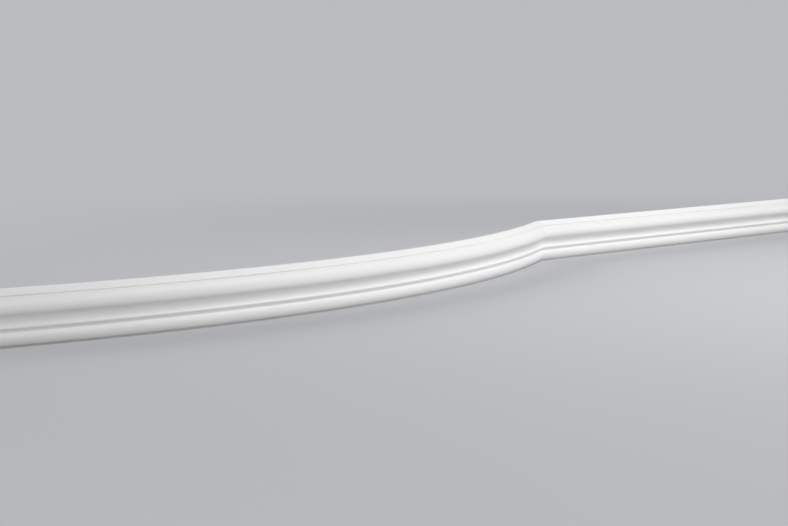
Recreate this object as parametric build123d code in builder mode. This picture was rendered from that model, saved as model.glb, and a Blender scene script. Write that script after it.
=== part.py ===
"""Flexible moulding: one length of cast flexible polyurethane trim.

The length is shown as it is bent in use: round a wide convex curve, through a tight inside
corner, and along a straight run. Its back lies on the back line, its front faces -Y, and
it stands on its lower edge at Z = 0, with the middle of its footprint on the origin.
"""

import os
from math import cos, degrees, radians, sin

from build123d import *

# Stock and overall section
STOCK_LENGTH = 2000.0  # measured along the back
HEIGHT = 60.0
PROJECTION = 16.5  # back face to the foremost point of the nose
EDGE_RADIUS = 0.2  # softened edges and roots of a cast moulding

# The bends, at the back face
FLAT_RUN = 800.0  # straight stretch
CORNER_RADIUS = 30.0  # inside corner
CORNER_TURN = 28.5  # degrees between the straight run and the start of the curve
CURVE_RADIUS = 1550.0

# Base fillet and torus
BASE_HEIGHT = 2.6
BASE_PROJECTION = 5.9
TORUS_HEIGHT = 13.0
TORUS_SHELF = 3.2  # how far the torus starts in front of the base fillet
TORUS_BULGE = 2.6  # rise of the torus above its chord
TORUS_STEP = 0.6  # level ledge between the torus and the recess

# Recess and lip between the torus and the ogee
RECESS_HEIGHT = 3.8
RECESS_PROJECTION = 9.7
LIP_THICKNESS = 1.9
LIP_SET_BACK = 5.0  # behind the foremost point of the nose

# Ogee: a wide nose rolls under with a smaller radius into a cove that ends at the lip
NOSE_RADIUS = 13.5
NOSE_TOP = 62.0  # degrees that the nose goes on above its foremost point
ROLL_RADIUS = 5.5
ROLL_START = 10.0  # degrees below the foremost point, where the nose starts to roll under
UNDERCUT = 60.0  # degrees below the foremost point, where the roll meets the cove

# Quirk and top fillet
QUIRK_WIDTH = 0.9
QUIRK_DEPTH = 0.3  # behind the shoulder of the nose
TOP_FILLET_HEIGHT = 6.8
TOP_FILLET_PROUD = 0.4  # lower edge of the fillet, in front of the shoulder of the nose
TOP_FILLET_LEAN = 3.5  # how far the top edge of the fillet is behind its lower edge

# Levels of the section, from the lower edge upwards
torus_top = BASE_HEIGHT + TORUS_HEIGHT
lip_bottom = torus_top + RECESS_HEIGHT
lip_top = lip_bottom + LIP_THICKNESS
fillet_bottom = HEIGHT - TOP_FILLET_HEIGHT
shoulder_level = fillet_bottom - QUIRK_WIDTH

# The ogee hangs from its shoulder, and the fillet above it is placed from the same point
nose_centre_out = PROJECTION - NOSE_RADIUS
nose_centre_up = shoulder_level - NOSE_RADIUS * sin(radians(NOSE_TOP))
shoulder_out = nose_centre_out + NOSE_RADIUS * cos(radians(NOSE_TOP))
quirk_out = shoulder_out - QUIRK_DEPTH
fillet_out = shoulder_out + TOP_FILLET_PROUD
lip_out = PROJECTION - LIP_SET_BACK

# What the straight run and the corner leave of the length goes round the curve
curved_run = STOCK_LENGTH - FLAT_RUN - CORNER_RADIUS * radians(CORNER_TURN)
curve_turn = degrees(curved_run / CURVE_RADIUS)

with BuildPart() as moulding:
    # The back line in plan, from the free end of the straight run to that of the curve
    with BuildLine() as back_line:
        flat = Line((FLAT_RUN, 0), (0, 0))
        corner = JernArc(flat @ 1, flat % 1, CORNER_RADIUS, CORNER_TURN)
        JernArc(corner @ 1, corner % 1, CURVE_RADIUS, -curve_turn)

    # The section, with X out from the back and Y up
    with BuildSketch(Plane(flat @ 0, x_dir=(0, -1, 0), z_dir=flat % 0)) as section:
        with BuildLine():
            Line((0, HEIGHT), (0, 0))
            base = FilletPolyline(
                (0, 0),
                (BASE_PROJECTION, 0),
                (BASE_PROJECTION, BASE_HEIGHT),
                (BASE_PROJECTION + TORUS_SHELF, BASE_HEIGHT),
                radius=EDGE_RADIUS,
            )
            torus = SagittaArc(
                base @ 1,
                (RECESS_PROJECTION + TORUS_STEP, torus_top),
                -TORUS_BULGE,
            )
            nose = CenterArc(
                (nose_centre_out, nose_centre_up),
                NOSE_RADIUS,
                start_angle=NOSE_TOP,
                arc_size=-(NOSE_TOP + ROLL_START),
            )
            roll = JernArc(nose @ 1, nose % 1, ROLL_RADIUS, ROLL_START - UNDERCUT)
            cove = TangentArc(roll @ 1, (lip_out, lip_top), tangent=roll % 1)
            FilletPolyline(
                cove @ 1,
                (lip_out, lip_bottom),
                (RECESS_PROJECTION, lip_bottom),
                (RECESS_PROJECTION, torus_top),
                torus @ 1,
                radius=EDGE_RADIUS,
            )
            FilletPolyline(
                nose @ 0,
                (quirk_out, shoulder_level),
                (quirk_out, fillet_bottom),
                (fillet_out, fillet_bottom),
                (fillet_out - TOP_FILLET_LEAN, HEIGHT),
                (0, HEIGHT),
                radius=EDGE_RADIUS,
            )
        make_face()
        # The edges where an arc ends against a flat are softened too
        edge_points = [torus @ 0, torus @ 1, cove @ 1, nose @ 0]
        fillet(
            [section.vertices().sort_by_distance(point)[0] for point in edge_points],
            radius=EDGE_RADIUS,
        )
    sweep(path=back_line.line)

# The middle of the footprint goes to the origin
box = moulding.part.bounding_box()
placed = moulding.part.moved(Location((-box.center().X, -box.center().Y, -box.min.Z)))

os.makedirs("parts", exist_ok=True)
placed.label = "moulding"
export_step(placed, "parts/moulding.step")
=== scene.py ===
import math

import bmesh
import bpy
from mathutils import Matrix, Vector


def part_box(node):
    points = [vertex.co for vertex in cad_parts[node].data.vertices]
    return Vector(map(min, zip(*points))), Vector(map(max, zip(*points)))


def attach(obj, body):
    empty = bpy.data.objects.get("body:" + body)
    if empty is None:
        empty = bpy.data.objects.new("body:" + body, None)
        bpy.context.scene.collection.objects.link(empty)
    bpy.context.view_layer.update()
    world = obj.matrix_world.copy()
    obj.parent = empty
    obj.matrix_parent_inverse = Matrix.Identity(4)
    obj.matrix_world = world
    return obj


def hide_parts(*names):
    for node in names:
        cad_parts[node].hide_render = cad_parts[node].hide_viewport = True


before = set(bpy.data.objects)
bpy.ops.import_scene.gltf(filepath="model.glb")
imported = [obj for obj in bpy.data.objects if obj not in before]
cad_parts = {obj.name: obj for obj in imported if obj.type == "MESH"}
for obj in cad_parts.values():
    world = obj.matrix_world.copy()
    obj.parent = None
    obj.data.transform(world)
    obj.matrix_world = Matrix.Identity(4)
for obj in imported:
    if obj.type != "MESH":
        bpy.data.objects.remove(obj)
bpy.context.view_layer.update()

MM = 0.001

# Section of the moulding, out from the back and up from the lower edge
HEIGHT = 60.0 * MM
PROJECTION = 16.5 * MM
EDGE_RADIUS = 0.2 * MM
BASE_HEIGHT = 2.6 * MM
BASE_PROJECTION = 5.9 * MM
TORUS_HEIGHT = 13.0 * MM
TORUS_SHELF = 3.2 * MM
TORUS_BULGE = 2.6 * MM
TORUS_STEP = 0.6 * MM
RECESS_HEIGHT = 3.8 * MM
RECESS_PROJECTION = 9.7 * MM
LIP_THICKNESS = 1.9 * MM
LIP_SET_BACK = 5.0 * MM
UNDERCUT = math.radians(60)
ROLL_RADIUS = 5.5 * MM
ROLL_START = math.radians(10)
NOSE_RADIUS = 13.5 * MM
NOSE_TOP = math.radians(62)
QUIRK_WIDTH = 0.9 * MM
QUIRK_DEPTH = 0.3 * MM
TOP_FILLET_HEIGHT = 6.8 * MM
TOP_FILLET_PROUD = 0.4 * MM
TOP_FILLET_LEAN = 3.5 * MM

# The line that the back follows, from the free end of the flat run
STOCK_LENGTH = 2.0
FLAT_RUN = 0.8
CORNER_RADIUS = 30 * MM
CORNER_TURN = math.radians(28.5)
CURVE_RADIUS = 1.55
CURVE_LENGTH = STOCK_LENGTH - FLAT_RUN - CORNER_RADIUS * CORNER_TURN
CURVE_TURN = CURVE_LENGTH / CURVE_RADIUS

moulding_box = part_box("moulding")
RUN_END = moulding_box[1].x
BACK = moulding_box[1].y
CORNER_START = RUN_END - FLAT_RUN
CORNER_CENTRE = Vector((CORNER_START, BACK - CORNER_RADIUS, 0))
CURVE_CENTRE = CORNER_CENTRE + Vector(
    (-math.sin(CORNER_TURN), math.cos(CORNER_TURN), 0)
) * (CORNER_RADIUS + CURVE_RADIUS)

# How finely the arcs of the section and the stretches of the length are divided
EDGE_STEPS = 4
TORUS_STEPS = 20
COVE_STEPS = 18
ROLL_STEPS = 12
NOSE_STEPS = 24
RUN_STEPS = 40
CORNER_STEPS = 16
CURVE_STEPS = 100

# Points nearer than this become one, first in the outline and then in the whole mesh
OUTLINE_MERGE = 2e-6
MESH_MERGE = 1e-7

# Edges that turn by more than this stay sharp in the shading
SHARP_EDGE = math.radians(32)

# Material slots of the mesh
WHITE_SKIN, SANDED_BACK, SAWN_END = range(3)


# Drawing the section, one vertex at a time

def section_point(out, up):
    return Vector((RUN_END, BACK - out, up))


def straight(bm, tip, out, up):
    """Extrudes the tip of the outline to a point of the section."""
    tip = bmesh.ops.extrude_vert_indiv(bm, verts=[tip])["verts"][0]
    tip.co = section_point(out, up)
    return tip


def arc(bm, tip, out, up, turn, steps):
    """Spins the tip of the outline about a centre: a positive turn bulges outwards."""
    spun = bmesh.ops.spin(
        bm,
        geom=[tip],
        cent=section_point(out, up),
        axis=(-1, 0, 0),
        angle=turn,
        steps=steps,
    )
    return next(g for g in spun["geom_last"] if isinstance(g, bmesh.types.BMVert))


def edge_reach(turn):
    """How far a softened edge reaches along each of the two faces that meet in it."""
    return EDGE_RADIUS * math.tan(abs(turn) / 2)


def soft_corner(bm, tip, out, up, heading, turn):
    """Goes straight to a corner and round it with the small radius of a cast edge."""
    side = math.copysign(EDGE_RADIUS, turn)
    from_out = out - edge_reach(turn) * math.cos(heading)
    from_up = up - edge_reach(turn) * math.sin(heading)
    tip = straight(bm, tip, from_out, from_up)
    centre_out = from_out - side * math.sin(heading)
    centre_up = from_up + side * math.cos(heading)
    return arc(bm, tip, centre_out, centre_up, turn, EDGE_STEPS)


def torus(bm, tip, start, end):
    """Arcs outwards between two points of the section, with a softened edge at each."""
    chord = Vector(end) - Vector(start)
    radius = (chord.length_squared / 4 + TORUS_BULGE ** 2) / (2 * TORUS_BULGE)
    outwards = Vector((chord.y, -chord.x)).normalized()
    centre = Vector(start) + chord / 2 + outwards * (TORUS_BULGE - radius)
    half_turn = math.asin(chord.length / 2 / radius)
    heading = math.atan2(chord.y, chord.x)
    first_edge = heading - half_turn
    last_edge = math.pi - heading - half_turn
    trimmed = (edge_reach(first_edge) + edge_reach(last_edge)) / radius
    tip = soft_corner(bm, tip, *start, 0, first_edge)
    tip = arc(bm, tip, *centre, 2 * half_turn - trimmed, TORUS_STEPS)
    return soft_corner(bm, tip, *end, math.pi - last_edge, last_edge)


def draw_section(bm):
    """Draws the closed outline at the free end of the flat run, from the back upwards."""
    # Levels of the section
    torus_top = BASE_HEIGHT + TORUS_HEIGHT
    lip_bottom = torus_top + RECESS_HEIGHT
    lip_top = lip_bottom + LIP_THICKNESS
    fillet_bottom = HEIGHT - TOP_FILLET_HEIGHT
    shoulder = fillet_bottom - QUIRK_WIDTH

    # The ogee: centres of the nose, of the roll under it and of the cove
    nose_out = PROJECTION - NOSE_RADIUS
    nose_up = shoulder - NOSE_RADIUS * math.sin(NOSE_TOP)
    nose_end = nose_out + NOSE_RADIUS * math.cos(NOSE_TOP)
    roll_reach = NOSE_RADIUS - ROLL_RADIUS
    roll_out = nose_out + roll_reach * math.cos(ROLL_START)
    roll_up = nose_up - roll_reach * math.sin(ROLL_START)
    under_out = roll_out + ROLL_RADIUS * math.cos(UNDERCUT)
    under_up = roll_up - ROLL_RADIUS * math.sin(UNDERCUT)
    lip_out = PROJECTION - LIP_SET_BACK
    cove_chord = Vector((under_out - lip_out, under_up - lip_top))
    cove_half_turn = UNDERCUT - math.atan2(cove_chord.x, cove_chord.y)
    cove_radius = cove_chord.length / (2 * math.sin(cove_half_turn))
    cove_out = under_out + cove_radius * math.cos(UNDERCUT)
    cove_up = under_up - cove_radius * math.sin(UNDERCUT)

    # Quirk and top fillet, and the turns where an arc meets a flat
    fillet_out = nose_end + TOP_FILLET_PROUD
    quirk_out = nose_end - QUIRK_DEPTH
    lean = math.atan(TOP_FILLET_LEAN / TOP_FILLET_HEIGHT)
    right = math.pi / 2
    lip_edge = 2 * cove_half_turn - UNDERCUT
    shoulder_edge = right - NOSE_TOP

    # The outline, along the lower edge, up the front and back along the top
    tip = start = bm.verts.new(section_point(0, 0))
    tip = soft_corner(bm, tip, BASE_PROJECTION, 0, 0, right)
    tip = soft_corner(bm, tip, BASE_PROJECTION, BASE_HEIGHT, right, -right)
    torus_start = (BASE_PROJECTION + TORUS_SHELF, BASE_HEIGHT)
    torus_end = (RECESS_PROJECTION + TORUS_STEP, torus_top)
    tip = torus(bm, tip, torus_start, torus_end)
    tip = soft_corner(bm, tip, RECESS_PROJECTION, torus_top, 2 * right, -right)
    tip = soft_corner(bm, tip, RECESS_PROJECTION, lip_bottom, right, -right)
    tip = soft_corner(bm, tip, lip_out, lip_bottom, 0, right)
    tip = soft_corner(bm, tip, lip_out, lip_top, right, lip_edge)
    cove_turn = 2 * cove_half_turn - edge_reach(lip_edge) / cove_radius
    tip = arc(bm, tip, cove_out, cove_up, -cove_turn, COVE_STEPS)
    tip = arc(bm, tip, roll_out, roll_up, UNDERCUT - ROLL_START, ROLL_STEPS)
    nose_turn = ROLL_START + NOSE_TOP - edge_reach(shoulder_edge) / NOSE_RADIUS
    tip = arc(bm, tip, nose_out, nose_up, nose_turn, NOSE_STEPS)
    tip = soft_corner(bm, tip, nose_end, shoulder, right + NOSE_TOP, shoulder_edge)
    tip = soft_corner(bm, tip, quirk_out, shoulder, 2 * right, -right)
    tip = soft_corner(bm, tip, quirk_out, fillet_bottom, right, -right)
    tip = soft_corner(bm, tip, fillet_out, fillet_bottom, 0, right + lean)
    tip = soft_corner(
        bm, tip, fillet_out - TOP_FILLET_LEAN, HEIGHT, right + lean, right - lean
    )
    tip = straight(bm, tip, 0, HEIGHT)
    bm.edges.new((tip, start))
    bmesh.ops.remove_doubles(bm, verts=bm.verts[:], dist=OUTLINE_MERGE)


# Carrying the section along the length

def edges_of(geom):
    return [g for g in geom if isinstance(g, bmesh.types.BMEdge)]


def unbent(point):
    """Where a point lies on the length before bending: along it, out from the back, up."""
    if point.x >= CORNER_START:
        return Vector((RUN_END - point.x, BACK - point.y, point.z))
    x, y, _ = point - CORNER_CENTRE
    turn = math.atan2(-x, y)
    if turn < CORNER_TURN:
        out = CORNER_RADIUS - math.hypot(x, y)
        return Vector((FLAT_RUN + CORNER_RADIUS * turn, out, point.z))
    x, y, _ = point - CURVE_CENTRE
    turn = CORNER_TURN - math.atan2(x, -y)
    out = math.hypot(x, y) - CURVE_RADIUS
    return Vector((STOCK_LENGTH - CURVE_LENGTH + CURVE_RADIUS * turn, out, point.z))


def mark_finishes(bm):
    """Stores each point's unbent place, and gives the back and the ends their own finish."""
    stock = bm.verts.layers.float_vector.new("stock")
    for vert in bm.verts:
        vert[stock] = unbent(vert.co)
    for face in bm.faces:
        face.smooth = True
        # Only the two end caps have more than four corners
        if len(face.verts) > 4:
            face.material_index = SAWN_END
        elif max(vert[stock].y for vert in face.verts) < EDGE_RADIUS:
            face.material_index = SANDED_BACK
        else:
            face.material_index = WHITE_SKIN


def make_moulding():
    """Carries the section along the flat run, through the corner and round the curve."""
    bm = bmesh.new()
    draw_section(bm)
    front = bm.edges[:]
    for _ in range(RUN_STEPS):
        made = bmesh.ops.extrude_edge_only(bm, edges=front)["geom"]
        moved = [g for g in made if isinstance(g, bmesh.types.BMVert)]
        bmesh.ops.translate(bm, verts=moved, vec=(-FLAT_RUN / RUN_STEPS, 0, 0))
        front = edges_of(made)
    for centre, turn, steps in (
        (CORNER_CENTRE, CORNER_TURN, CORNER_STEPS),
        (CURVE_CENTRE, -CURVE_TURN, CURVE_STEPS),
    ):
        spun = bmesh.ops.spin(
            bm, geom=front, cent=centre, axis=(0, 0, 1), angle=turn, steps=steps
        )
        front = edges_of(spun["geom_last"])
    bmesh.ops.holes_fill(bm, edges=bm.edges[:], sides=0)
    bmesh.ops.remove_doubles(bm, verts=bm.verts[:], dist=MESH_MERGE)
    bmesh.ops.recalc_face_normals(bm, faces=bm.faces[:])
    mark_finishes(bm)
    mesh = bpy.data.meshes.new("moulding_bent")
    bm.to_mesh(mesh)
    bm.free()
    mesh.set_sharp_from_angle(angle=SHARP_EDGE)
    piece = bpy.data.objects.new("moulding_bent", mesh)
    bpy.context.scene.collection.objects.link(piece)
    even = piece.modifiers.new("even_shading", "WEIGHTED_NORMAL")
    even.keep_sharp = True
    return piece


# Finishes of the moulding, in patterns that follow its length

NOISE_LOW, NOISE_HIGH = 0.3, 0.7  # nearly all of a noise lies between these
PIT_FLOOR = 0.4  # share of a pit's radius that is its flat floor


def add_node(tree, kind, inputs):
    made = tree.nodes.new(kind)
    for name, value in inputs.items():
        made.inputs[name].default_value = value
    return made


def new_finish(name):
    finish = bpy.data.materials.new(name)
    finish.use_nodes = True
    tree = finish.node_tree
    return finish, tree, tree.nodes["Principled BSDF"]


def on_stock(tree, texture, density):
    """Lays a texture on the unbent length, with so many cells a metre along, out and up."""
    place = tree.nodes.new("ShaderNodeAttribute")
    place.attribute_name = "stock"
    mapping = add_node(tree, "ShaderNodeMapping", {"Scale": density})
    tree.links.new(place.outputs["Vector"], mapping.inputs["Vector"])
    tree.links.new(mapping.outputs["Vector"], texture.inputs["Vector"])
    return texture


def cloudy(tree, density, detail):
    texture = add_node(tree, "ShaderNodeTexNoise", {"Scale": 1.0, "Detail": detail})
    return on_stock(tree, texture, density).outputs["Fac"]


def pinholes(tree, density, size):
    """One in the pits left by air bubbles, nothing elsewhere."""
    cells = add_node(tree, "ShaderNodeTexVoronoi", {"Scale": 1.0, "Randomness": 1.0})
    nearest = on_stock(tree, cells, density).outputs["Distance"]
    pit = add_node(
        tree, "ShaderNodeMapRange", {"From Min": size, "From Max": size * PIT_FLOOR}
    )
    tree.links.new(nearest, pit.inputs["Value"])
    return pit.outputs["Result"]


def two_tone(tree, shader, factor, low, high):
    """Colours the shader between two tones."""
    ramp = tree.nodes.new("ShaderNodeValToRGB")
    stops = ((NOISE_LOW, low), (NOISE_HIGH, high))
    for element, (position, colour) in zip(ramp.color_ramp.elements, stops):
        element.position = position
        element.color = (*colour, 1)
    tree.links.new(factor, ramp.inputs["Fac"])
    tree.links.new(ramp.outputs["Color"], shader.inputs["Base Color"])


def vary_roughness(tree, shader, factor, low, high):
    spread = add_node(
        tree,
        "ShaderNodeMapRange",
        {"From Min": NOISE_LOW, "From Max": NOISE_HIGH, "To Min": low, "To Max": high},
    )
    tree.links.new(factor, spread.inputs["Value"])
    tree.links.new(spread.outputs["Result"], shader.inputs["Roughness"])


def relief(tree, shader, *layers):
    """Raises the surface by several heights, each given with its depth in metres."""
    below = None
    for height, depth in layers:
        bump = add_node(tree, "ShaderNodeBump", {"Strength": 1.0, "Distance": depth})
        tree.links.new(height, bump.inputs["Height"])
        if below:
            tree.links.new(below, bump.inputs["Normal"])
        below = bump.outputs["Normal"]
    tree.links.new(below, shader.inputs["Normal"])


def white_skin():
    """Smooth satin white coat, with the faint lengthwise marks of the mould."""
    finish, tree, shader = new_finish("white_skin")
    clouds = cloudy(tree, density=(7, 60, 60), detail=3)
    two_tone(tree, shader, clouds, low=(0.845, 0.845, 0.84), high=(0.87, 0.87, 0.865))
    gloss = cloudy(tree, density=(25, 180, 180), detail=2)
    vary_roughness(tree, shader, gloss, low=0.46, high=0.56)
    mould_marks = cloudy(tree, density=(2.5, 420, 420), detail=1)
    coat = cloudy(tree, density=(650, 650, 650), detail=2)
    relief(tree, shader, (mould_marks, 0.04 * MM), (coat, 0.02 * MM))
    return finish


def sanded_back():
    """Matt back, sanded lengthwise, with pinholes where air was trapped."""
    finish, tree, shader = new_finish("sanded_back")
    clouds = cloudy(tree, density=(12, 40, 40), detail=4)
    two_tone(tree, shader, clouds, low=(0.79, 0.78, 0.755), high=(0.85, 0.845, 0.825))
    scratches = cloudy(tree, density=(14, 1400, 1400), detail=3)
    vary_roughness(tree, shader, scratches, low=0.66, high=0.82)
    pits = pinholes(tree, density=(160, 160, 160), size=0.09)
    relief(tree, shader, (scratches, 0.1 * MM), (pits, -0.5 * MM))
    return finish


def sawn_end():
    """Matt cut through the core, with the fine marks of the saw."""
    finish, tree, shader = new_finish("sawn_end")
    shader.inputs["Roughness"].default_value = 0.7
    clouds = cloudy(tree, density=(90, 90, 90), detail=3)
    two_tone(tree, shader, clouds, low=(0.80, 0.79, 0.765), high=(0.85, 0.84, 0.82))
    strokes = add_node(
        tree, "ShaderNodeTexWave", {"Scale": 1.0, "Distortion": 1.5, "Detail": 2.0}
    )
    strokes.bands_direction = "DIAGONAL"
    saw_marks = on_stock(tree, strokes, density=(0, 90, 260)).outputs["Fac"]
    pits = pinholes(tree, density=(600, 600, 600), size=0.16)
    relief(tree, shader, (saw_marks, 0.12 * MM), (pits, -0.3 * MM))
    return finish


moulding = make_moulding()
for finish in (white_skin(), sanded_back(), sawn_end()):
    moulding.data.materials.append(finish)
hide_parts("moulding")
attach(moulding, "root")


# Floor and background, a pale grey that runs on behind the object

BACKGROUND = (0.49, 0.50, 0.52, 1)
FLOOR_BOUNCE = (0.62, 0.62, 0.62, 1)  # tone that lights the moulding from below
FLOOR_SEEN = (0.535, 0.545, 0.565, 1)  # tone that shows
FLOOR_RADIUS = 40
FLOOR_SIDES = 64
FADE_START = 0.5  # metres from the origin
FADE_END = 2.0
NEAR_FADE = 0.2  # share of the background inside the start of the fade


def seen_directly(tree):
    """One for rays that show the background: straight, mirrored or through glass."""
    path = tree.nodes.new("ShaderNodeLightPath")
    seen = path.outputs["Is Camera Ray"]
    for kind in ("Is Glossy Ray", "Is Transmission Ray"):
        either = tree.nodes.new("ShaderNodeMath")
        either.operation = "MAXIMUM"
        tree.links.new(seen, either.inputs[0])
        tree.links.new(path.outputs[kind], either.inputs[1])
        seen = either.outputs[0]
    return seen


def pale_floor():
    """Plain floor that takes the shadow, and fades into the background far out."""
    finish, tree, shader = new_finish("pale_floor")
    shader.inputs["Roughness"].default_value = 0.9
    shader.inputs["Specular IOR Level"].default_value = 0.0
    seen = seen_directly(tree)
    tone = add_node(
        tree, "ShaderNodeMixRGB", {"Color1": FLOOR_BOUNCE, "Color2": FLOOR_SEEN}
    )
    tree.links.new(seen, tone.inputs["Fac"])
    tree.links.new(tone.outputs["Color"], shader.inputs["Base Color"])
    place = tree.nodes.new("ShaderNodeTexCoord")
    flattened = add_node(tree, "ShaderNodeMapping", {"Scale": (1, 1, 0)})
    tree.links.new(place.outputs["Object"], flattened.inputs["Vector"])
    away = tree.nodes.new("ShaderNodeVectorMath")
    away.operation = "LENGTH"
    tree.links.new(flattened.outputs["Vector"], away.inputs[0])
    fade = add_node(
        tree,
        "ShaderNodeMapRange",
        {"From Min": FADE_START, "From Max": FADE_END, "To Min": NEAR_FADE},
    )
    fade.interpolation_type = "SMOOTHSTEP"
    tree.links.new(away.outputs["Value"], fade.inputs["Value"])
    share = tree.nodes.new("ShaderNodeMath")
    share.operation = "MULTIPLY"
    tree.links.new(fade.outputs["Result"], share.inputs[0])
    tree.links.new(seen, share.inputs[1])
    far = add_node(
        tree, "ShaderNodeEmission", {"Color": BACKGROUND, "Strength": 1.0}
    )
    mix = tree.nodes.new("ShaderNodeMixShader")
    tree.links.new(share.outputs[0], mix.inputs[0])
    tree.links.new(shader.outputs[0], mix.inputs[1])
    tree.links.new(far.outputs[0], mix.inputs[2])
    tree.links.new(mix.outputs[0], tree.nodes["Material Output"].inputs["Surface"])
    return finish


def make_floor():
    bm = bmesh.new()
    bmesh.ops.create_circle(
        bm, cap_ends=True, radius=FLOOR_RADIUS, segments=FLOOR_SIDES
    )
    mesh = bpy.data.meshes.new("floor")
    bm.to_mesh(mesh)
    bm.free()
    mesh.materials.append(pale_floor())
    disc = bpy.data.objects.new("floor", mesh)
    bpy.context.scene.collection.objects.link(disc)
    return disc


floor = make_floor()


# Soft light all round, and large lamps in front, behind and to each side

AMBIENT = 0.20


def studio_world():
    world = bpy.data.worlds.new("studio")
    world.use_nodes = True
    tree = world.node_tree
    ambient = tree.nodes["Background"]
    ambient.inputs["Color"].default_value = (1, 1, 1, 1)
    ambient.inputs["Strength"].default_value = AMBIENT
    behind = add_node(
        tree, "ShaderNodeBackground", {"Color": BACKGROUND, "Strength": 1.0}
    )
    mix = tree.nodes.new("ShaderNodeMixShader")
    tree.links.new(seen_directly(tree), mix.inputs[0])
    tree.links.new(ambient.outputs[0], mix.inputs[1])
    tree.links.new(behind.outputs[0], mix.inputs[2])
    tree.links.new(mix.outputs[0], tree.nodes["World Output"].inputs["Surface"])
    return world


def large_lamp(name, azimuth, elevation, distance, level):
    """Round lamp that faces the corner, from so many degrees right of the front and up."""
    lamp = bpy.data.lights.new(name, "AREA")
    lamp.shape = "DISK"
    lamp.size = distance / 2
    lamp.energy = level * (math.pi * distance) ** 2
    turn = math.radians(azimuth)
    rise = math.radians(elevation)
    towards = Vector(
        (math.sin(turn) * math.cos(rise), -math.cos(turn) * math.cos(rise), math.sin(rise))
    )
    lamp_object = bpy.data.objects.new(name, lamp)
    lamp_object.location = Vector((CORNER_START, BACK, HEIGHT / 2)) + towards * distance
    lamp_object.rotation_euler = towards.to_track_quat("Z", "Y").to_euler()
    lamp_object.visible_camera = False
    bpy.context.scene.collection.objects.link(lamp_object)


bpy.context.scene.world = studio_world()
large_lamp("key_lamp", azimuth=20, elevation=55, distance=1.6, level=0.535)
large_lamp("fill_lamp", azimuth=-20, elevation=32, distance=2.6, level=0.275)
large_lamp("side_lamp", azimuth=62, elevation=12, distance=4.5, level=0.13)
large_lamp("back_lamp", azimuth=195, elevation=28, distance=3.8, level=0.42)
large_lamp("end_lamp", azimuth=245, elevation=15, distance=4.0, level=0.22)


# Camera, placed from the start of the corner on the back line

IMAGE_WIDTH = 788
FOCAL_LENGTH = 1750  # in pixels of the image
SENSOR_WIDTH = 36
CAMERA_LEFT = 2.0771
CAMERA_IN_FRONT = 1.6409
CAMERA_HEIGHT = 0.2625
LOOK_DOWN = math.radians(5.773)
LOOK_RIGHT = math.radians(46.942)
FARTHEST_SEEN = 200

camera = bpy.data.cameras.new("camera")
camera.sensor_width = SENSOR_WIDTH
camera.lens = FOCAL_LENGTH * SENSOR_WIDTH / IMAGE_WIDTH
camera.clip_end = FARTHEST_SEEN
camera_object = bpy.data.objects.new("camera", camera)
bpy.context.scene.collection.objects.link(camera_object)
camera_object.location = (CORNER_START - CAMERA_LEFT, BACK - CAMERA_IN_FRONT, CAMERA_HEIGHT)
camera_object.rotation_euler = (math.pi / 2 - LOOK_DOWN, 0, -LOOK_RIGHT)
bpy.context.scene.camera = camera_object

bpy.context.scene.view_settings.view_transform = "Standard"
